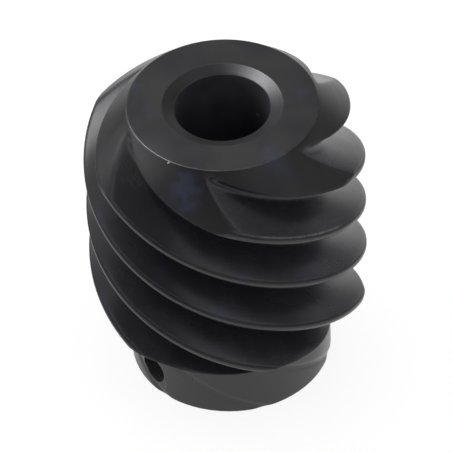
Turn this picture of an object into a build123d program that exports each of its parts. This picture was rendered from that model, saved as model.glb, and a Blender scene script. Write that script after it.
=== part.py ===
from build123d import *
from math import acos, atan2, cos, hypot, pi, radians, sin, tan
import os

# A six-start left-hand worm screw in blued steel, standing upright on its plain hub end.
# One turned blank carries the thread. Both thread ends are turned off on a cone, a through
# bore takes the shaft, and a radial hole in the hub takes the pin that locks it there.
# The grooves are a little deeper than the hub, so they run out through it as shallow flutes.
# Millimetres, +Z up along the axis, origin on the axis in the bottom face.
# The pin hole enters from the -Y side.

# Turned blank
body_length = 52.0
tip_diameter = 44.0
top_face_diameter = 29.8
hub_diameter = 32.0
hub_length = 8.4
end_cone_angle = 45.0
rim_break = 0.25

# Thread, with its widths given in the axial section and its phase as the angle of one
# land's centre in the bottom face. Each full-round root is made of a few narrow flats.
starts = 6
axial_module = 3.0
root_diameter = 31.7
root_round = 1.0
root_flats = 3
land_width = 1.4
thread_phase = 9.3

# Bore and pin hole
bore_diameter = 15.0
bore_mouth_width = 1.9
bore_mouth_depth = 0.65
pin_hole_diameter = 5.0
pin_hole_height = 4.2

# Allowances for making: the turned blank's excess over the tips, the thread's over each
# end face, and the drill's past the hub
blank_allowance = 1.0
thread_overrun = 1.0
drill_overrun = 1.0

# Worked out from the sizes above
tip_radius = tip_diameter / 2
root_radius = root_diameter / 2
top_face_radius = top_face_diameter / 2
hub_radius = hub_diameter / 2
bore_radius = bore_diameter / 2
pitch = pi * axial_module
lead = starts * pitch
angle_per_mm = 2 * pi / lead
thread_length = body_length + 2 * thread_overrun


def turned_solid(points):
    """Solid of revolution about Z from a closed outline of (radius, height) points."""
    with BuildSketch(Plane.XZ) as sketch:
        with BuildLine():
            Polyline(*points, close=True)
        make_face()
    return revolve(sketch.sketch, Axis.Z).solid()


def turned_blank():
    """The bar turned to its hub, its end faces and the two cones, before the thread is cut."""
    blank_radius = tip_radius + blank_allowance
    rise_low = (blank_radius - hub_radius) * tan(radians(end_cone_angle))
    rise_high = (blank_radius - top_face_radius) * tan(radians(end_cone_angle))
    return turned_solid([
        (0, 0),
        (hub_radius - rim_break, 0),
        (hub_radius, rim_break),
        (hub_radius, hub_length),
        (blank_radius, hub_length + rise_low),
        (blank_radius, body_length - rise_high),
        (top_face_radius, body_length),
        (0, body_length),
    ])


def flank_lean():
    """Lean of the flank from the radial direction that runs the land's edge into the root."""
    reach = (pitch - land_width) / 2
    depth = tip_radius - root_radius - root_round
    return acos(root_round / hypot(reach, depth)) - atan2(depth, reach)


def section_point(along, radius, side):
    """Point of the cross section at an axial distance from a land's centre."""
    angle = side * along * angle_per_mm
    return Vector(radius * cos(angle), radius * sin(angle))


def root_points():
    """Points of the full-round root of one groove, flank to flank, joined by narrow flats."""
    lean = flank_lean()
    headings = [lean + step / root_flats * (pi - 2 * lean) for step in range(root_flats + 1)]
    return [
        (pitch / 2 - root_round * cos(heading), root_radius + root_round * (1 - sin(heading)))
        for heading in headings
    ]


def root_edges():
    """The root's flats in the cross section."""
    corners = [section_point(along, radius, 1) for along, radius in root_points()]
    return [Edge.make_line(start, end) for start, end in zip(corners, corners[1:])]


def flank(side):
    """Flank on one side of a tooth, straight in the axial section from the land to the root."""
    root_along, root_start = root_points()[0]
    steps = 4
    points = []
    for step in range(steps + 1):
        share = step / steps
        along = land_width / 2 + share * (root_along - land_width / 2)
        radius = tip_radius + share * (root_start - tip_radius)
        points.append(section_point(along, radius, side))
    return Edge.make_spline(points)


def land():
    """Narrow land on top of one tooth."""
    return Edge.make_three_point_arc(
        section_point(land_width / 2, tip_radius, -1),
        section_point(0, tip_radius, 1),
        section_point(land_width / 2, tip_radius, 1),
    )


def thread_section():
    """Cross section of the thread: every tooth with its land and flanks, and every root."""
    tooth = [flank(-1), land(), flank(1), *root_edges()]
    edges = []
    for index in range(starts):
        turn = thread_phase + index * 360 / starts
        edges += [edge.rotate(Axis.Z, turn) for edge in tooth]
    return Face(Wire(edges))


def thread():
    """The cross section twisted left-handed along the whole length and past both ends."""
    start = Location((0, 0, -thread_overrun), (0, 0, 360 * thread_overrun / lead))
    return Solid.extrude_linear_with_rotation(
        start * thread_section(),
        center=(0, 0, -thread_overrun),
        normal=(0, 0, thread_length),
        angle=-360 * thread_length / lead,
    )


def bore_tool():
    """Through bore with a wide shallow chamfer at each mouth."""
    mouth_radius = bore_radius + bore_mouth_width
    return turned_solid([
        (0, 0),
        (mouth_radius, 0),
        (bore_radius, bore_mouth_depth),
        (bore_radius, body_length - bore_mouth_depth),
        (mouth_radius, body_length),
        (0, body_length),
    ])


def pin_hole_tool():
    """Radial drill through one wall of the hub into the bore."""
    low_end = (Align.CENTER, Align.CENTER, Align.MIN)
    drill = Cylinder(pin_hole_diameter / 2, hub_radius + drill_overrun, align=low_end)
    return Pos(0, 0, pin_hole_height) * Rot(90, 0, 0) * drill


def worm_screw():
    """The whole screw as one solid."""
    return (turned_blank() & thread()) - bore_tool() - pin_hole_tool()


os.makedirs("parts", exist_ok=True)
worm = worm_screw()
export_step(worm, "parts/worm_screw.step")
print("volume", round(worm.volume, 1), "solids", len(worm.solids()), "faces", len(worm.faces()))
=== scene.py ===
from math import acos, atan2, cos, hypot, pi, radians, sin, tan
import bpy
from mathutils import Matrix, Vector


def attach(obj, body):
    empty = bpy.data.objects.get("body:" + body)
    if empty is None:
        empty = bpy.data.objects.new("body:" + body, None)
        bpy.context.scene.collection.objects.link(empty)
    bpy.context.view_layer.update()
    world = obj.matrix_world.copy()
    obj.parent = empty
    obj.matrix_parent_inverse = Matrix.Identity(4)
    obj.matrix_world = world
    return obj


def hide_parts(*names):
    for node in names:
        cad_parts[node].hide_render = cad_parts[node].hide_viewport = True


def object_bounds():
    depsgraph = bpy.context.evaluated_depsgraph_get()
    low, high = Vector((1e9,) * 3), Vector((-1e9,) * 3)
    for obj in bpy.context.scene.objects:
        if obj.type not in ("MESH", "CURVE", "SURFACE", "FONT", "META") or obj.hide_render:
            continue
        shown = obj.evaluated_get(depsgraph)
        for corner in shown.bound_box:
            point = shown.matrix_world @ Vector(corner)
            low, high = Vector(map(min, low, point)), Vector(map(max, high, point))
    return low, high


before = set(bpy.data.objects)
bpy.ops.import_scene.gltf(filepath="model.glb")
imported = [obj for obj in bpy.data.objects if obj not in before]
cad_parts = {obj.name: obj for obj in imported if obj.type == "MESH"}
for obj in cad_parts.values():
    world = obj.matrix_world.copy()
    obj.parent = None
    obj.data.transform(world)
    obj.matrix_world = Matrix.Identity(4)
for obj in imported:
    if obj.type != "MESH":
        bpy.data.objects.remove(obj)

# A six-start left-hand worm in blued steel, standing on its plain hub end.
# The worm is one mesh: its turned outline goes round the axis, and the grooves are cut in it by rule.
# Its steel has three finishes, turned, milled and bored, which share their effects.

cad_low, cad_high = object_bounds()
MM = 0.001

# Turned outline, in millimetres and degrees
body_length = (cad_high.z - cad_low.z) / MM
tip_radius = 22.0
top_face_radius = 14.9
hub_radius = 16.0
hub_length = 8.4
end_cone_angle = 45.0
bore_radius = 7.5
bore_mouth_width = 1.9
bore_mouth_depth = 0.65
corner_round = 0.18

# Thread, in millimetres, with the angle of one land's centre in the bottom face in degrees.
# Its edges are softest at the tip, and inner_softness is the share of that which is left at the hub.
starts = 6
axial_module = 3.0
root_radius = 15.85
root_round = 1.0
land_width = 1.4
edge_softness = 1.2
inner_softness = 0.6
thread_phase = 9.3

# Pin hole, in millimetres
pin_hole_radius = 2.5
pin_hole_height = 4.2
pin_hole_break = 0.15

# Worked out from the sizes above
pitch = pi * axial_module
lead = starts * pitch
bore_mouth_radius = bore_radius + bore_mouth_width
land_low = hub_length + (tip_radius - hub_radius) * tan(radians(end_cone_angle))
land_high = body_length - (tip_radius - top_face_radius) * tan(radians(end_cone_angle))
worm_middle = Vector((0, 0, body_length / 2 * MM))

# Mesh: spacing of its rows along the outline and in the bore, in millimetres, its columns round each tooth,
# the share of them that lies on the land, how much they crowd on either side of its edge, the distance of
# its weld in millimetres, and the sides of the pin hole
row_spacing = 0.42
bore_row_spacing = 1.0
columns_per_start = 56
land_columns = 0.25
land_crowding = 0.6
groove_crowding = 0.88
weld_distance = 0.002
pin_hole_sides = 72

# Bright edges, as brightness: of the land's lower and upper edge, and of the pin hole, with the rims as
# radius, height and brightness. They stand partly for rubbing and partly for painted highlight, which makes
# the land's lower edge the brighter one
lower_edge = 0.2
upper_edge = 0.07
pin_hole_edge = 0.18
rims = [
    (top_face_radius, body_length, 0.3),
    (bore_mouth_radius, body_length, 0.09),
    (hub_radius, 0, 0.48),
    (bore_mouth_radius, 0, 0.18),
]

# Tooth whose upper edge carries a painted highlight on the camera's side, standing for light on its rounded
# edge, with the line's place and half width in millimetres, and the turns round the axis between which it
# comes in and goes out
glint_tooth = 4
glint_line = land_width / 2 + 0.03
glint_width = 0.18
glint_from = (-0.13, -0.01)
glint_until = (0.03, 0.06)

# Blue temper colour, and a painted sheen of light on the front of the upper cone, as middle and reach in
# millimetres
bloom_middle = (9.6, -14.5, 49.6)
bloom_reach = 4.2
cone_sheen_middle = (0.6, -16.0, 50.4)
cone_sheen_reach = 5.5

# Nicks and scratches that the photograph shows, the last four being a painted highlight streak below the pin
# hole that stands for light on the flute's edge: place and radius in millimetres, and brightness
listed_nicks_and_glints = [
    (4.55, -14.45, 51.9, 0.34, 1.0),
    (7.63, -20.63, 22.55, 0.3, 0.4),
    (13.15, -16.76, 20.66, 0.25, 0.15),
    (-0.57, 7.47, 44.7, 0.3, 0.3),
    (-0.9, 7.44, 44.7, 0.3, 0.3),
    # The next four paint a highlight: a light streak down from the pin hole, standing for light on the
    # flute's edge
    (2.7, -15.77, 3.2, 0.42, 0.1),
    (2.67, -15.78, 2.6, 0.42, 0.14),
    (2.64, -15.78, 2.0, 0.42, 0.14),
    (2.6, -15.79, 1.4, 0.42, 0.1),
]

# Height of one unit of the surface's fine relief
relief_unit = 0.01 * MM

# Camera, found from the photograph: angles in degrees, distance, height and offset in tip radii
camera_azimuth = 52.418
camera_elevation = 44.260
camera_roll = 2.285
camera_distance = 37.875
camera_offset = (0.0098, -0.0497)
camera_target_height = 1.1
pixels_per_radius = 139.126
frame_pixels = 452

# Floor: its own white, and the glow that makes it white to the camera
floor_white = 0.28
floor_glow = 0.84

# Floor as the worm's gloss shows it, with painted light and shade in its glow: its glow, the azimuth of its
# lit side, how much painted light that side gains and painted shade the other loses round the hub, the
# painted shade that the whole foot loses, the radii in millimetres between which this fades, and the painted
# light gained far away with the radii between which it grows
floor_gloss = 0.75
lit_azimuth = camera_azimuth + 130
side_gain = 0.19
foot_loss = 0.01
foot_fade = (hub_radius + 4, hub_radius + 16)
far_gain = 0.15
far_rise = (300, 900)


def flank_lean():
    """Lean of the flank from the radial direction that runs the land's edge into the full-round root."""
    reach = (pitch - land_width) / 2
    depth = tip_radius - root_radius - root_round
    return acos(root_round / hypot(reach, depth)) - atan2(depth, reach)


def turned_outline():
    """Corners of the turned outline from the bottom mouth, as radius, height and spacing of the next rows."""
    return [
        (bore_mouth_radius, 0, row_spacing),
        (hub_radius, 0, row_spacing),
        (hub_radius, hub_length, row_spacing),
        (tip_radius, land_low, row_spacing),
        (tip_radius, land_high, row_spacing),
        (top_face_radius, body_length, row_spacing),
        (bore_mouth_radius, body_length, row_spacing),
        (bore_radius, body_length - bore_mouth_depth, bore_row_spacing),
        (bore_radius, bore_mouth_depth, row_spacing),
    ]


def outline_rows():
    """The outline with each corner rounded and each run divided, as a list of (radius, height)."""
    outline = turned_outline()
    corners = [Vector(corner[:2]) for corner in outline]
    count = len(corners)
    arc_steps = 4
    arcs = []
    for index, here in enumerate(corners):
        before = (corners[index - 1] - here).normalized()
        after = (corners[(index + 1) % count] - here).normalized()
        half_angle = before.angle(after) / 2
        back = corner_round / tan(half_angle)
        centre = here + (before + after).normalized() * corner_round / sin(half_angle)
        start = here + before * back - centre
        end = here + after * back - centre
        directions = [start.slerp(end, step / arc_steps).normalized() for step in range(arc_steps + 1)]
        arcs.append([centre + direction * corner_round for direction in directions])
    rows = []
    for index, arc in enumerate(arcs):
        rows += arc
        following = arcs[(index + 1) % count][0]
        parts = max(1, round((following - arc[-1]).length / outline[index][2]))
        rows += [arc[-1].lerp(following, part / parts) for part in range(1, parts)]
    return rows


def outline_mesh():
    """Mesh whose vertices are the rows of the worm's surface, in order round the outline."""
    mesh = bpy.data.meshes.new("turned_outline")
    mesh.from_pydata([(radius * MM, 0, height * MM) for radius, height in outline_rows()], [], [])
    return mesh


class Term:
    """A socket that takes part in a formula of a node tree, with other terms and plain numbers."""

    def __init__(self, tree, socket):
        self.tree = tree
        self.socket = socket

    def formula(self, operation, *values):
        """Term of a math node over terms and numbers in their order."""
        node = self.tree.nodes.new("ShaderNodeMath")
        node.operation = operation
        for slot, value in enumerate(values):
            feed(self.tree, value, node.inputs[slot])
        return Term(self.tree, node.outputs[0])

    def math(self, operation, *others):
        """Term of a math node over this term and others."""
        return self.formula(operation, self, *others)

    def __add__(self, other):
        return self.math("ADD", other)

    def __sub__(self, other):
        return self.math("SUBTRACT", other)

    def __rsub__(self, other):
        return self.formula("SUBTRACT", other, self)

    def __mul__(self, other):
        return self.math("MULTIPLY", other)

    def __truediv__(self, other):
        return self.math("DIVIDE", other)

    def least(self, other):
        return self.math("MINIMUM", other)

    def most(self, other):
        return self.math("MAXIMUM", other)

    def between(self, low, high, start=0.0, end=1.0):
        """Smooth step from start to end as the term goes from low to high."""
        node = self.tree.nodes.new("ShaderNodeMapRange")
        node.interpolation_type = "SMOOTHSTEP"
        for name, value in zip(("From Min", "From Max", "To Min", "To Max"), (low, high, start, end)):
            node.inputs[name].default_value = value
        self.tree.links.new(self.socket, node.inputs["Value"])
        return Term(self.tree, node.outputs["Result"])


def feed(tree, value, target):
    """Feeds a term or a plain number to a node's input."""
    if isinstance(value, Term):
        tree.links.new(value.socket, target)
    else:
        target.default_value = value


def joined(tree, place):
    """Vector socket of x, y and z, each a term or a number."""
    node = tree.nodes.new("ShaderNodeCombineXYZ")
    for axis, value in zip("XYZ", place):
        feed(tree, value, node.inputs[axis])
    return node.outputs[0]


def parted(tree, socket):
    """Terms of the x, y and z of a vector socket."""
    node = tree.nodes.new("ShaderNodeSeparateXYZ")
    tree.links.new(socket, node.inputs[0])
    return [Term(tree, node.outputs[axis]) for axis in "XYZ"]


def store_field(tree, geometry, name, value, domain):
    """Geometry with a term or a number stored on it as a named attribute."""
    node = tree.nodes.new("GeometryNodeStoreNamedAttribute")
    node.data_type = "FLOAT"
    node.domain = domain
    node.inputs["Name"].default_value = name
    tree.links.new(geometry, node.inputs["Geometry"])
    feed(tree, value, node.inputs["Value"])
    return node.outputs["Geometry"]


def read_field(tree, name):
    """Term of a named attribute."""
    node = tree.nodes.new("GeometryNodeInputNamedAttribute")
    node.data_type = "FLOAT"
    node.inputs["Name"].default_value = name
    return Term(tree, node.outputs["Attribute"])


def tree_inputs(tree, sizes, finishes):
    """Gives the tree its outline, named sizes and materials as inputs: their node, and each size's term."""
    kinds = {int: "NodeSocketInt", float: "NodeSocketFloat"}
    tree.interface.new_socket("Geometry", in_out="INPUT", socket_type="NodeSocketGeometry")
    for name, value in sizes.items():
        socket = tree.interface.new_socket(name, in_out="INPUT", socket_type=kinds[type(value)])
        socket.default_value = value
    for name in finishes:
        tree.interface.new_socket(name, in_out="INPUT", socket_type="NodeSocketMaterial")
    group_in = tree.nodes.new("NodeGroupInput")
    return group_in, {name: Term(tree, group_in.outputs[name]) for name in sizes}


def worm_grid(tree, outline, size):
    """Grid with a column for each angle and a row for each point of the outline.

    Gives its mesh, and for each vertex its column and the turned radius and height of its row.
    """
    nodes, links = tree.nodes, tree.links
    rows = nodes.new("GeometryNodeAttributeDomainSize")
    links.new(outline, rows.inputs[0])
    row_count = Term(tree, rows.outputs["Point Count"])
    column_count = size["Starts"] * size["Columns per Start"]
    grid = nodes.new("GeometryNodeMeshGrid")
    links.new((column_count + 1).socket, grid.inputs["Vertices X"])
    links.new((row_count + 1).socket, grid.inputs["Vertices Y"])
    index = Term(tree, nodes.new("GeometryNodeInputIndex").outputs[0])
    column = (index / (row_count + 1)).math("FLOOR")
    row = (index - column * (row_count + 1)).math("MODULO", row_count)
    sample = nodes.new("GeometryNodeSampleIndex")
    sample.data_type = "FLOAT_VECTOR"
    links.new(outline, sample.inputs["Geometry"])
    links.new(nodes.new("GeometryNodeInputPosition").outputs[0], sample.inputs["Value"])
    links.new(row.socket, sample.inputs["Index"])
    turned, _, height = parted(tree, sample.outputs[0])
    return grid.outputs["Mesh"], column, turned, height


def groove_rule(size, turned):
    """Where the groove begins for a turned radius, half the pitch, and its radius across the tooth."""
    slope = size["Flank Lean"].math("TANGENT")
    half_land = size["Land Width"] / 2
    half_pitch = size["Lead"] / size["Starts"] / 2
    fillet = size["Root Round"]
    fillet_centre = size["Root Radius"] + fillet
    fillet_top = size["Root Radius"] + fillet * (1 - size["Flank Lean"].math("SINE"))
    flank_end = half_land + (size["Tip Radius"] - fillet_top) * slope
    cut_on_flank = half_land + (size["Tip Radius"] - turned) * slope
    above_centre = (fillet_centre - turned).most(0).least(fillet)
    cut_on_fillet = half_pitch - (fillet * fillet - above_centre * above_centre).most(0).math("SQRT")
    on_flank = turned.math("GREATER_THAN", fillet_top)
    cut = cut_on_flank * on_flank + cut_on_fillet * (1 - on_flank)

    def groove_radius(along):
        on_flank_here = along.math("LESS_THAN", flank_end)
        flank_radius = size["Tip Radius"] - (along - half_land) / slope
        beside_centre = (half_pitch - along).most(0).least(fillet)
        fillet_depth = (fillet * fillet - beside_centre * beside_centre).math("SQRT")
        return flank_radius * on_flank_here + (fillet_centre - fillet_depth) * (1 - on_flank_here)

    return cut, half_pitch, groove_radius


def place_across(size, column, cut, half_pitch):
    """A column's tooth, its side of it, whether it is on the land, and its distance from the land's centre.

    The columns crowd towards the edge of the land. Where the blank is so thin that the land would take
    the whole pitch, a little of it is left to the groove's columns.
    """
    widest_land = 0.9
    margin = 0.0001
    edge = cut.least(half_pitch * widest_land)
    teeth = column / size["Columns per Start"]
    tooth = teeth.math("FLOOR")
    across = (teeth - tooth) * 2 - 1
    share = across.math("ABSOLUTE")
    on_land = share.math("LESS_THAN", land_columns + margin)
    land_step = (1 - share / land_columns).most(0)
    in_land = edge * (1 - land_step * land_step * land_crowding - land_step * (1 - land_crowding))
    groove_step = ((share - land_columns) / (1 - land_columns)).most(0)
    into_groove = groove_step * (1 - groove_crowding) + groove_step * groove_step * groove_crowding
    in_groove = edge + (half_pitch - edge) * into_groove
    along = in_land * on_land + in_groove * (1 - on_land)
    return tooth, across.math("SIGN"), on_land, along


def drilled(tree, mesh, size):
    """The mesh with the radial pin hole and its broken edge.

    The drill runs from the axis to past the hub, and the tool for the edge lies across the hub's surface.
    """
    past_hub, sink_length, sink_lift = 1.1, 1.5, 0.1
    radius, height = size["Pin Hole Radius"], size["Pin Hole Height"]
    reach = size["Hub Radius"] * past_hub
    drill = pin_tool(tree, radius, radius, reach, reach * 0.5, height)
    edge_break = size["Pin Hole Break"]
    depth = edge_break * 2
    sink_middle = size["Hub Radius"] + depth * sink_lift
    sink = pin_tool(tree, radius - edge_break, radius + depth, depth * sink_length, sink_middle, height)
    cut_hole = tree.nodes.new("GeometryNodeMeshBoolean")
    cut_hole.operation = "DIFFERENCE"
    cut_hole.solver = "MANIFOLD"
    tree.links.new(mesh, cut_hole.inputs["Mesh 1"])
    for tool in (sink, drill):
        tree.links.new(tool, cut_hole.inputs["Mesh 2"])
    return cut_hole.outputs["Mesh"]


def pin_tool(tree, inner_radius, outer_radius, length, middle, height):
    """Round tool along -Y for the pin hole, from its radius inside to its radius outside."""
    nodes, links = tree.nodes, tree.links
    tool = nodes.new("GeometryNodeMeshCone")
    tool.inputs["Vertices"].default_value = pin_hole_sides
    links.new(outer_radius.socket, tool.inputs["Radius Top"])
    links.new(inner_radius.socket, tool.inputs["Radius Bottom"])
    links.new(length.socket, tool.inputs["Depth"])
    aim = nodes.new("GeometryNodeTransform")
    aim.inputs["Rotation"].default_value = (radians(90), 0, 0)
    links.new(joined(tree, (0, middle * -1 + length * 0.5, height)), aim.inputs["Translation"])
    links.new(tool.outputs["Mesh"], aim.inputs["Geometry"])
    milled_finish = 1
    return store_field(tree, aim.outputs[0], "finish", milled_finish, "FACE")


def dressed(tree, mesh, group_in, finishes):
    """The whole mesh, with the material of each face's finish."""
    whole = tree.nodes.new("GeometryNodeRealizeInstances")
    tree.links.new(mesh, whole.inputs[0])
    faces = whole.outputs[0]
    for number, name in enumerate(finishes):
        node = tree.nodes.new("GeometryNodeSetMaterial")
        nearness = (read_field(tree, "finish") - number).math("ABSOLUTE")
        tree.links.new(nearness.math("LESS_THAN", 0.5).socket, node.inputs["Selection"])
        tree.links.new(group_in.outputs[name], node.inputs["Material"])
        tree.links.new(faces, node.inputs["Geometry"])
        faces = node.outputs[0]
    return faces


def worm_tree():
    """Geometry Nodes tree: turns the outline round the axis and cuts the grooves along their lead."""
    tree = bpy.data.node_groups.new("multi_start_worm", "GeometryNodeTree")
    sizes = {
        "Starts": starts, "Lead": lead * MM, "Tip Radius": tip_radius * MM, "Root Radius": root_radius * MM,
        "Root Round": root_round * MM, "Land Width": land_width * MM, "Flank Lean": flank_lean(),
        "Edge Softness": edge_softness * MM, "Phase": radians(thread_phase),
        "Columns per Start": columns_per_start,
        "Hub Radius": hub_radius * MM, "Bore Radius": bore_radius * MM,
        "Pin Hole Radius": pin_hole_radius * MM, "Pin Hole Height": pin_hole_height * MM,
        "Pin Hole Break": pin_hole_break * MM,
    }
    finishes = ("Turned Steel", "Milled Steel", "Bored Steel")
    group_in, size = tree_inputs(tree, sizes, finishes)
    grid, column, turned, height = worm_grid(tree, group_in.outputs["Geometry"], size)
    cut, half_pitch, groove_radius = groove_rule(size, turned)
    tooth, side, on_land, along = place_across(size, column, cut, half_pitch)

    # Radius: the turned blank or the groove, whichever is less, with a soft edge between them
    outward = (turned - size["Hub Radius"]) / (size["Tip Radius"] - size["Hub Radius"])
    softness = size["Edge Softness"] * outward.most(inner_softness).least(1)
    radius = turned.math("SMOOTH_MIN", groove_radius(along), softness)

    # Angle: the tooth, the place across it, and the left-hand twist with height
    turn = 2 * pi
    angle = (side * along - height) / size["Lead"] * turn + tooth / size["Starts"] * turn + size["Phase"]
    place = joined(tree, (angle.math("COSINE") * radius, angle.math("SINE") * radius, height))

    # Which vertices lie in a groove, and which in the bore
    bore_margin = 1.01
    in_groove = (1 - on_land) * turned.math("GREATER_THAN", size["Root Radius"])
    in_bore = turned.math("LESS_THAN", size["Bore Radius"] * bore_margin)
    marked = store_field(tree, grid, "groove", in_groove, "POINT")
    marked = store_field(tree, marked, "bore", in_bore, "POINT")
    shape = tree.nodes.new("GeometryNodeSetPosition")
    tree.links.new(marked, shape.inputs["Geometry"])
    tree.links.new(place, shape.inputs["Position"])

    # Finish of each face, by the share of its corners that lie there: turned is 0, milled 1 and bored 2
    milled_share, bored_share = 0.4, 0.9
    milled = read_field(tree, "groove").math("GREATER_THAN", milled_share)
    bored = read_field(tree, "bore").math("GREATER_THAN", bored_share)
    faced = store_field(tree, shape.outputs[0], "finish", milled + bored * 2, "FACE")

    weld = tree.nodes.new("GeometryNodeMergeByDistance")
    weld.inputs["Distance"].default_value = weld_distance * MM
    tree.links.new(faced, weld.inputs["Geometry"])
    worm_faces = dressed(tree, drilled(tree, weld.outputs[0], size), group_in, finishes)
    tree.interface.new_socket("Geometry", in_out="OUTPUT", socket_type="NodeSocketGeometry")
    tree.links.new(worm_faces, tree.nodes.new("NodeGroupOutput").inputs[0])
    return tree


def group_tree(name, inputs, outputs):
    """Shader node group with named number inputs and outputs: its tree and a term for each input."""
    tree = bpy.data.node_groups.new(name, "ShaderNodeTree")
    for socket_name, value in inputs.items():
        socket = tree.interface.new_socket(socket_name, in_out="INPUT", socket_type="NodeSocketFloat")
        socket.default_value = value
    for socket_name in outputs:
        tree.interface.new_socket(socket_name, in_out="OUTPUT", socket_type="NodeSocketFloat")
    group_in = tree.nodes.new("NodeGroupInput")
    return tree, {socket_name: Term(tree, group_in.outputs[socket_name]) for socket_name in inputs}


def finish_group(tree, results):
    """Joins the terms to the group's outputs."""
    group_out = tree.nodes.new("NodeGroupOutput")
    for name, term in results.items():
        tree.links.new(term.socket, group_out.inputs[name])
    return tree


def object_place(tree):
    """Terms of the surface's place in millimetres and turns: x, y, z, radius, and turn round the axis."""
    coordinates = tree.nodes.new("ShaderNodeTexCoord")
    scaled = tree.nodes.new("ShaderNodeVectorMath")
    scaled.operation = "SCALE"
    scaled.inputs["Scale"].default_value = 1 / MM
    tree.links.new(coordinates.outputs["Object"], scaled.inputs[0])
    x, y, z = parted(tree, scaled.outputs[0])
    radius = (x * x + y * y).math("SQRT")
    turn = y.math("ARCTAN2", x) / (2 * pi)
    return x, y, z, radius, turn


def tooth_place(z, turn):
    """Signed distance from the nearest land's centre along the axis, and that tooth's number."""
    place = (turn + z / lead - thread_phase / 360) * starts
    tooth = place.math("ROUND")
    return (place - tooth) * pitch, tooth


def noise(tree, place, scale, detail=2.0, distortion=0.0):
    """Term of a noise over (x, y, z), about 0.5 in the middle."""
    node = tree.nodes.new("ShaderNodeTexNoise")
    node.inputs["Scale"].default_value = scale
    node.inputs["Detail"].default_value = detail
    node.inputs["Distortion"].default_value = distortion
    tree.links.new(joined(tree, place), node.inputs["Vector"])
    return Term(tree, node.outputs[0])


def distance_from(place, middle):
    """Term of the distance from a fixed place."""
    x, y, z = (term - value for term, value in zip(place, middle))
    return (x * x + y * y + z * z).math("SQRT")


def edge_wear_and_glint():
    """Mask of the bright line along the lands, the rims, the bore's mouths and the pin hole.

    It stands partly for rubbing and partly for painted highlight, which is brightest on the lands' lower
    edges and on one tooth's upper edge.
    """
    tree, given = group_tree("edge_wear_and_glint", {"Width": 0.25, "Patchiness": 0.5}, ("Wear and Glint",))
    x, y, z, radius, turn = object_place(tree)
    along, tooth = tooth_place(z, turn)

    def line(away):
        """Brightness of a line by the distance from it."""
        return 1 - (away / given["Width"]).least(1)

    # Both edges of every land, the lower one brighter as painted highlight, and one tooth's upper edge
    # as a painted highlight
    from_edge = (along.math("ABSOLUTE") - land_width / 2).math("ABSOLUTE")
    below = along.math("LESS_THAN", 0)
    on_land = radius.between(tip_radius - 0.5, tip_radius - 0.3)
    edge = line(from_edge) * on_land * (below * lower_edge).most(upper_edge)
    glint_part = turn.between(*glint_from) * turn.between(*glint_until, 1.0, 0.0)
    on_glint_tooth = (1 - (tooth - glint_tooth).math("ABSOLUTE")).most(0) * glint_part
    glint = (1 - (along - glint_line).math("ABSOLUTE") / glint_width).most(0) * on_glint_tooth
    edge = edge.most(glint * radius.math("GREATER_THAN", tip_radius - 0.7))

    # The rims of the faces, and of the pin hole
    for rim_radius, rim_height, brightness in rims:
        out, up = radius - rim_radius, z - rim_height
        edge = edge.most(line((out * out + up * up).math("SQRT")) * brightness)
    rise = z - pin_hole_height
    from_hole = (x * x + rise * rise).math("SQRT") - pin_hole_radius - pin_hole_break / 2
    hole_side = radius.math("GREATER_THAN", hub_radius - pin_hole_break) * y.math("LESS_THAN", 0)
    edge = edge.most(line(from_hole.math("ABSOLUTE")) * hole_side * pin_hole_edge)

    # The line, rubbing and painted highlight alike, comes and goes, and is chipped
    broad_breakup_share = 0.65
    broad_breakup = noise(tree, (x, y, z), scale=0.35, detail=3.0)
    chipped = noise(tree, (x, y, z), scale=2.6)
    cover = (broad_breakup * broad_breakup_share + chipped * (1 - broad_breakup_share)).between(0.38, 0.62)
    return finish_group(tree, {"Wear and Glint": edge * (cover * given["Patchiness"] + (1 - given["Patchiness"]) * 0.5)})


def land_crown():
    """Height of the lands' slight crown, which is highest along their middle and fades at their ends."""
    tree, given = group_tree("land_crown", {"Crown": 0.19, "Half Width": land_width / 2}, ("Height",))
    _, _, z, radius, turn = object_place(tree)
    along, _ = tooth_place(z, turn)
    across = (along / given["Half Width"]).math("ABSOLUTE").least(1)
    low_fade, high_fade, high_gap = 0.6, 2.0, 0.4
    from_low = z.between(land_low, land_low + low_fade)
    to_high = z.between(land_high - high_gap - high_fade, land_high - high_gap, 1.0, 0.0)
    within = from_low * to_high * radius.math("GREATER_THAN", root_radius)
    return finish_group(tree, {"Height": (1 - across * across) * given["Crown"] * within})


def turning_marks():
    """Fine rings left by the turning tool over faces, cones and bore. They change slowly round the axis."""
    tree, given = group_tree("turning_marks", {"Feed": 0.2}, ("Height",))
    x, y, z, radius, _ = object_place(tree)
    height_share = 0.6
    change = 0.02
    ring = (radius + z * height_share) / given["Feed"]
    return finish_group(tree, {"Height": noise(tree, (ring, x * change, y * change), scale=1.0)})


def milling_marks():
    """Fine lines left by the cutter along the flanks of each tooth, with faint waves across them."""
    tree, given = group_tree("milling_marks", {"Feed": 0.3, "Wave": 1.4}, ("Height",))
    _, _, z, radius, turn = object_place(tree)
    _, tooth = tooth_place(z, turn)
    change, tooth_step = 0.12, 7.3
    wave_height = 0.06
    lines = noise(tree, (radius / given["Feed"], z * change, tooth * tooth_step), scale=1.0, detail=3.0)
    waves = (z * (2 * pi) / given["Wave"]).math("SINE") * wave_height
    return finish_group(tree, {"Height": lines + waves})


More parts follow.
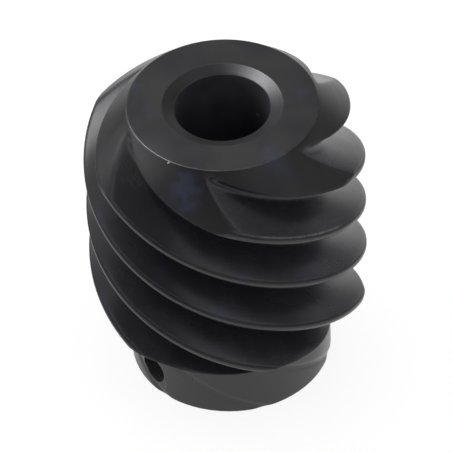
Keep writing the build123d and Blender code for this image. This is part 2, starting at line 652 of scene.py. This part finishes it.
def oxide_bloom_and_sheen():
    """Uneven black oxide: broad clouds, a fine grain and blue temper colour, with a painted sheen of light on
    the hub, the lands and the cone's front.
    """
    inputs = {"Cloud Size": 9.0, "Grain Size": 0.35}
    tree, given = group_tree("oxide_bloom_and_sheen", inputs, ("Cloud", "Grain", "Blue", "Painted Sheen"))
    x, y, z, radius, turn = object_place(tree)
    place = (x, y, z)
    along, _ = tooth_place(z, turn)
    broad_x, broad_y, broad_z = (term / given["Cloud Size"] for term in place)
    clouds = noise(tree, (broad_x, broad_y, broad_z), scale=1.0, detail=4.0, distortion=0.6)
    grain = noise(tree, [term / given["Grain Size"] for term in place], scale=1.0, detail=3.0)
    breaks = noise(tree, place, scale=0.4, detail=3.0) - 0.5

    # Blue in faint patches everywhere, and in one clear patch with a broken edge
    patch_blue, bloom_breaks = 0.5, 1.8
    patches = noise(tree, (broad_y, broad_z, broad_x), scale=1.3, detail=3.0)
    bloom = 1 - distance_from(place, bloom_middle) / bloom_reach + breaks * bloom_breaks
    blue = (patches.between(0.56, 0.74) * patch_blue).most(bloom.between(0.05, 0.85))

    # Painted sheen, standing for reflected light: lighter on the hub, along the lower half of the lands, and
    # in a patch on the front of the cone
    land_sheen, cone_sheen_strength, cone_sheen_breaks = 0.7, 0.5, 0.3
    on_hub = z.between(hub_length - 0.6, hub_length + 2.0, 1.0, 0.0)
    pale = on_hub * radius.between(bore_radius, bore_radius + 2.0)
    lower_half = along.between(land_width * 0.05, land_width * 0.35, land_sheen, 0.0)
    pale = pale.most(radius.between(tip_radius - 0.4, tip_radius - 0.1) * lower_half)
    cone_sheen = 1 - distance_from(place, cone_sheen_middle) / cone_sheen_reach + breaks * cone_sheen_breaks
    pale = pale.most(cone_sheen * cone_sheen_strength)
    cloud = clouds.between(0.32, 0.68)
    return finish_group(tree, {"Cloud": cloud, "Grain": grain, "Blue": blue, "Painted Sheen": pale})


def nicks_and_glints():
    """Small scattered nicked spots and specks where uncoated steel or dusty grit shows.

    The listed ones are added too, among them a painted highlight streak below the pin hole.
    """
    tree, given = group_tree("nicks_and_glints", {"Spacing": 5.0, "Size": 0.16, "Share": 0.3}, ("Nick and Glint",))
    place = object_place(tree)[:3]
    cells = tree.nodes.new("ShaderNodeTexVoronoi")
    cells.inputs["Scale"].default_value = 1.0
    tree.links.new(joined(tree, [term / given["Spacing"] for term in place]), cells.inputs["Vector"])
    away = Term(tree, cells.outputs["Distance"]) * given["Spacing"]
    pick = tree.nodes.new("ShaderNodeSeparateColor")
    tree.links.new(cells.outputs["Color"], pick.inputs[0])
    chosen = Term(tree, pick.outputs[0]).math("LESS_THAN", given["Share"])
    raggedness, least_size = 1.4, 0.4
    ragged = noise(tree, place, scale=4.0) * raggedness
    reach = given["Size"] * (Term(tree, pick.outputs[1]) + least_size) * ragged
    nick_and_glint = (1 - away / reach).most(0).between(0.0, 0.5) * chosen
    for *middle, nick_radius, brightness in listed_nicks_and_glints:
        away = distance_from(place, middle)
        nick_and_glint = nick_and_glint.most((1 - away / (ragged * nick_radius)).most(0).between(0.0, 0.4, 0.0, brightness))
    return finish_group(tree, {"Nick and Glint": nick_and_glint})


def place_group(material, group, values):
    """Terms of a group's outputs, placed in a material with its own values."""
    node = material.node_tree.nodes.new("ShaderNodeGroup")
    node.node_tree = group
    for name, value in values.items():
        node.inputs[name].default_value = value
    return {output.name: Term(material.node_tree, output) for output in node.outputs}


def blend_colour(material, factor, first, second):
    """Colour socket between two colours, each a plain colour or a socket."""
    tree = material.node_tree
    node = tree.nodes.new("ShaderNodeMix")
    node.data_type = "RGBA"
    factor_slot, first_slot, second_slot, result_slot = 0, 6, 7, 2
    tree.links.new(factor.socket, node.inputs[factor_slot])
    for slot, colour in ((first_slot, first), (second_slot, second)):
        if isinstance(colour, tuple):
            node.inputs[slot].default_value = (*colour, 1)
        else:
            tree.links.new(colour, node.inputs[slot])
    return node.outputs[result_slot]


def blued_steel(name, groups, finish):
    """Black oxide over machined steel, with one finish's own marks, tone and rubbing, and its painted sheen
    and painted highlights.
    """
    material = bpy.data.materials.new(name)
    material.use_nodes = True
    tree = material.node_tree
    shader = tree.nodes["Principled BSDF"]
    nick_dullness, nick_depth, wear_polish = 0.5, 2.0, 0.08
    oxide = place_group(material, groups["oxide_bloom_and_sheen"], {})
    marks = place_group(material, groups[finish["marks"]], finish["marks_values"])["Height"]
    wear_and_glint = place_group(material, groups["edge_wear_and_glint"], finish["wear_and_glint"])["Wear and Glint"]
    nick_and_glint = place_group(material, groups["nicks_and_glints"], {})["Nick and Glint"]
    crown = place_group(material, groups["land_crown"], {})["Height"]

    # Colour, from the oxide and its painted sheen out to the bright edges and the dusty specks, both partly
    # painted highlight
    body = blend_colour(material, oxide["Cloud"], finish["dark"], finish["light"])
    body = blend_colour(material, oxide["Blue"], body, finish["blue"])
    body = blend_colour(material, oxide["Painted Sheen"], body, finish["pale"])
    body = blend_colour(material, wear_and_glint, body, finish["bare_and_glint"])
    tree.links.new(blend_colour(material, nick_and_glint, body, finish["dust_and_glint"]), shader.inputs["Base Color"])
    tree.links.new((finish["metallic"] - nick_and_glint * nick_dullness).socket, shader.inputs["Metallic"])

    # Gloss
    shader.inputs["Specular IOR Level"].default_value = finish["specular"]
    clouds = (oxide["Cloud"] - 0.5) * finish["cloud_roughness"]
    uneven = clouds + (oxide["Grain"] - 0.5) * finish["grain_roughness"]
    uneven = uneven + (marks - 0.5) * finish["marks_roughness"]
    roughness = uneven + finish["roughness"] - wear_and_glint * wear_polish
    tree.links.new(roughness.socket, shader.inputs["Roughness"])

    # Fine relief
    relief = marks * finish["marks_relief"] + oxide["Grain"] * finish["grain_relief"] - nick_and_glint * nick_depth
    relief = relief + crown * (MM / relief_unit)
    bump = tree.nodes.new("ShaderNodeBump")
    bump.inputs["Strength"].default_value = 1.0
    bump.inputs["Distance"].default_value = relief_unit
    tree.links.new(relief.socket, bump.inputs["Height"])
    tree.links.new(bump.outputs[0], shader.inputs["Normal"])
    return material


def make_steels():
    """The turned, milled and bored finishes of the one blued steel."""
    effects = (edge_wear_and_glint, land_crown, turning_marks, milling_marks, oxide_bloom_and_sheen, nicks_and_glints)
    groups = {effect.__name__: effect() for effect in effects}
    shared = {
        "metallic": 0.7, "specular": 0.4, "cloud_roughness": 0.06, "grain_roughness": 0.08,
        # The edge and speck colours on the next line stand partly for rubbing and specks and partly for
        # painted highlights
        "bare_and_glint": (0.2, 0.2, 0.205), "dust_and_glint": (0.5, 0.5, 0.5), "blue": (0.035, 0.040, 0.066),
        # The pale colour on the next line is a painted sheen of light on the hub, the lands and the cone's
        # front
        "pale": (0.078, 0.078, 0.080), "wear_and_glint": {"Width": 0.16, "Patchiness": 0.8},
    }
    turned = blued_steel("turned_blued_steel", groups, {
        **shared, "dark": (0.020, 0.0195, 0.0225), "light": (0.027, 0.027, 0.028), "roughness": 0.34,
        "marks": "turning_marks", "marks_values": {"Feed": 0.2}, "marks_roughness": 0.08,
        "marks_relief": 0.35, "grain_relief": 0.25,
    })
    milled = blued_steel("milled_blued_steel", groups, {
        **shared, "dark": (0.024, 0.023, 0.028), "light": (0.030, 0.029, 0.035), "roughness": 0.27,
        "metallic": 0.35, "marks": "milling_marks", "marks_values": {"Feed": 0.3}, "marks_roughness": 0.05,
        "marks_relief": 0.2, "grain_relief": 0.04, "grain_roughness": 0.03,
    })
    bored = blued_steel("bored_blued_steel", groups, {
        **shared, "dark": (0.064, 0.062, 0.076), "light": (0.084, 0.082, 0.098), "roughness": 0.6,
        "marks": "turning_marks", "marks_values": {"Feed": 0.35}, "marks_roughness": 0.1,
        "marks_relief": 0.6, "grain_relief": 0.5,
    })
    return {"Turned Steel": turned, "Milled Steel": milled, "Bored Steel": bored}


def make_worm(steels):
    """The worm as a plain mesh from the tree."""
    worm = bpy.data.objects.new("worm", outline_mesh())
    bpy.context.scene.collection.objects.link(worm)
    tree = worm_tree()
    modifier = worm.modifiers.new("thread", "NODES")
    modifier.node_group = tree
    for item in tree.interface.items_tree:
        if item.item_type == "SOCKET" and item.in_out == "INPUT" and item.name in steels:
            modifier[item.identifier] = steels[item.name]
    shown = worm.evaluated_get(bpy.context.evaluated_depsgraph_get())
    mesh = bpy.data.meshes.new_from_object(shown)
    worm.modifiers.clear()
    worm.data = mesh
    mesh.shade_smooth()
    sharp_angle = 35
    mesh.set_sharp_from_angle(angle=radians(sharp_angle))
    return worm


def heading(azimuth, elevation):
    """Direction from the worm to a place round it. Azimuth starts at its -Y side and grows towards +X."""
    around, above = radians(azimuth), radians(elevation)
    return Vector((sin(around) * cos(above), -cos(around) * cos(above), sin(above)))


def make_camera():
    """Camera at the photograph's angle, from the fitted view."""
    unit = tip_radius * MM
    azimuth, roll = radians(camera_azimuth), radians(camera_roll)
    back = heading(camera_azimuth, camera_elevation)
    right = Vector((cos(azimuth), sin(azimuth), 0))
    up = back.cross(right)
    level = right * cos(roll) - up * sin(roll)
    upright = right * sin(roll) + up * cos(roll)
    target = Vector((0, 0, camera_target_height * unit))
    place = target + (back * camera_distance - level * camera_offset[0] - upright * camera_offset[1]) * unit
    data = bpy.data.cameras.new("camera")
    data.sensor_width = 36
    data.lens = pixels_per_radius * camera_distance / frame_pixels * data.sensor_width
    data.clip_start, data.clip_end = 0.05, 20
    camera = bpy.data.objects.new("camera", data)
    bpy.context.scene.collection.objects.link(camera)
    turn = Matrix((level, upright, back)).transposed()
    camera.matrix_world = Matrix.Translation(place) @ turn.to_4x4()
    bpy.context.scene.camera = camera


def make_world():
    """White surroundings, which are seen, reflected and give an even studio light."""
    world = bpy.data.worlds.new("studio")
    world.use_nodes = True
    bpy.context.scene.world = world
    background = world.node_tree.nodes["Background"]
    background.inputs["Color"].default_value = (1, 1, 1, 1)
    background.inputs["Strength"].default_value = 1.0


def stage_sheet(name, corners, white):
    """Flat matt four-cornered piece of the stage, and its material's tree."""
    material = bpy.data.materials.new(name)
    material.use_nodes = True
    shader = material.node_tree.nodes["Principled BSDF"]
    shader.inputs["Base Color"].default_value = (white, white, white, 1)
    shader.inputs["Roughness"].default_value = 1.0
    shader.inputs["Specular IOR Level"].default_value = 0.0
    mesh = bpy.data.meshes.new(name)
    mesh.from_pydata(corners, [], [(0, 1, 2, 3)])
    mesh.materials.append(material)
    sheet = bpy.data.objects.new(name, mesh)
    bpy.context.scene.collection.objects.link(sheet)
    return sheet, material.node_tree


def foot_shades(tree):
    """Shades of the floor's glow: to the camera, with none under the worm, and to gloss, with a lit side.

    The gloss shade is painted light on the lit side and far off, and painted shade round the foot.
    """
    position = tree.nodes.new("ShaderNodeNewGeometry").outputs["Position"]
    x, y = (term / MM for term in parted(tree, position)[:2])
    distance = (x * x + y * y).math("SQRT")
    lit = radians(lit_azimuth)
    side = (x * sin(lit) - y * cos(lit)) / distance
    near = distance.between(*foot_fade, 1.0, 0.0)
    around = (side * side_gain - foot_loss) * near + distance.between(*far_rise) * far_gain + 1
    return distance.math("GREATER_THAN", hub_radius - 1), around


def make_floor():
    """Plain pale floor that keeps the worm's shadow and looks white beyond it."""
    half = 1.5
    corners = [(-half, -half, 0), (half, -half, 0), (half, half, 0), (-half, half, 0)]
    _, tree = stage_sheet("floor", corners, floor_white)
    shader = tree.nodes["Principled BSDF"]
    shader.inputs["Emission Color"].default_value = (1, 1, 1, 1)
    path = tree.nodes.new("ShaderNodeLightPath")
    outside, around = foot_shades(tree)
    glow = Term(tree, path.outputs["Is Camera Ray"]) * floor_glow * outside
    glow = glow.most(Term(tree, path.outputs["Is Glossy Ray"]) * floor_gloss * around)
    tree.links.new(glow.socket, shader.inputs["Emission Strength"])


def make_card(name, azimuth, elevation, distance, width, height, white):
    """Card that faces the worm and shades its gloss. Only the worm's reflections and the light meet it."""
    back = heading(azimuth, elevation)
    middle = worm_middle + back * distance
    level = heading(azimuth + 90, 0) * width / 2
    upright = back.cross(level).normalized() * height / 2
    corners = [middle + level * across + upright * up for across, up in ((-1, -1), (1, -1), (1, 1), (-1, 1))]
    card, _ = stage_sheet(name, corners, white)
    card.visible_camera = False


def make_lamp(name, azimuth, elevation, distance, size, radiance):
    """Square soft lamp that only the worm's gloss shows. Its azimuth is counted as the camera's is."""
    data = bpy.data.lights.new(name, "AREA")
    data.size = size
    data.energy = radiance * pi * size * size
    lamp = bpy.data.objects.new(name, data)
    lamp.visible_diffuse = False
    bpy.context.scene.collection.objects.link(lamp)
    back = heading(azimuth, elevation)
    turn = back.to_track_quat("Z", "Y").to_matrix()
    lamp.matrix_world = Matrix.Translation(worm_middle + back * distance) @ turn.to_4x4()


worm = make_worm(make_steels())
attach(worm, "root")
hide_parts("worm_screw")
make_camera()
make_world()
make_floor()
make_lamp("rim_lamp", camera_azimuth - 132, 58, distance=0.8, size=0.26, radiance=28)
make_lamp("left_lamp", camera_azimuth - 119, 30, distance=0.8, size=0.28, radiance=7)
make_card("top_card", camera_azimuth - 18, 65, distance=0.5, width=0.42, height=0.42, white=0.6)
make_card("front_card", camera_azimuth, 8, distance=0.7, width=1.1, height=0.3, white=0.03)
make_card("left_card", camera_azimuth - 124, 0, distance=0.8, width=0.5, height=0.22, white=0.03)
make_card("right_card", camera_azimuth + 136, 7, distance=0.8, width=0.95, height=0.24, white=0.97)
make_card("back_card", camera_azimuth + 182, 8, distance=0.8, width=0.44, height=0.34, white=0.62)
make_card("right_top_card", camera_azimuth + 118, 42, distance=0.8, width=1.0, height=0.5, white=0.9)
bpy.context.scene.view_settings.view_transform = "Standard"
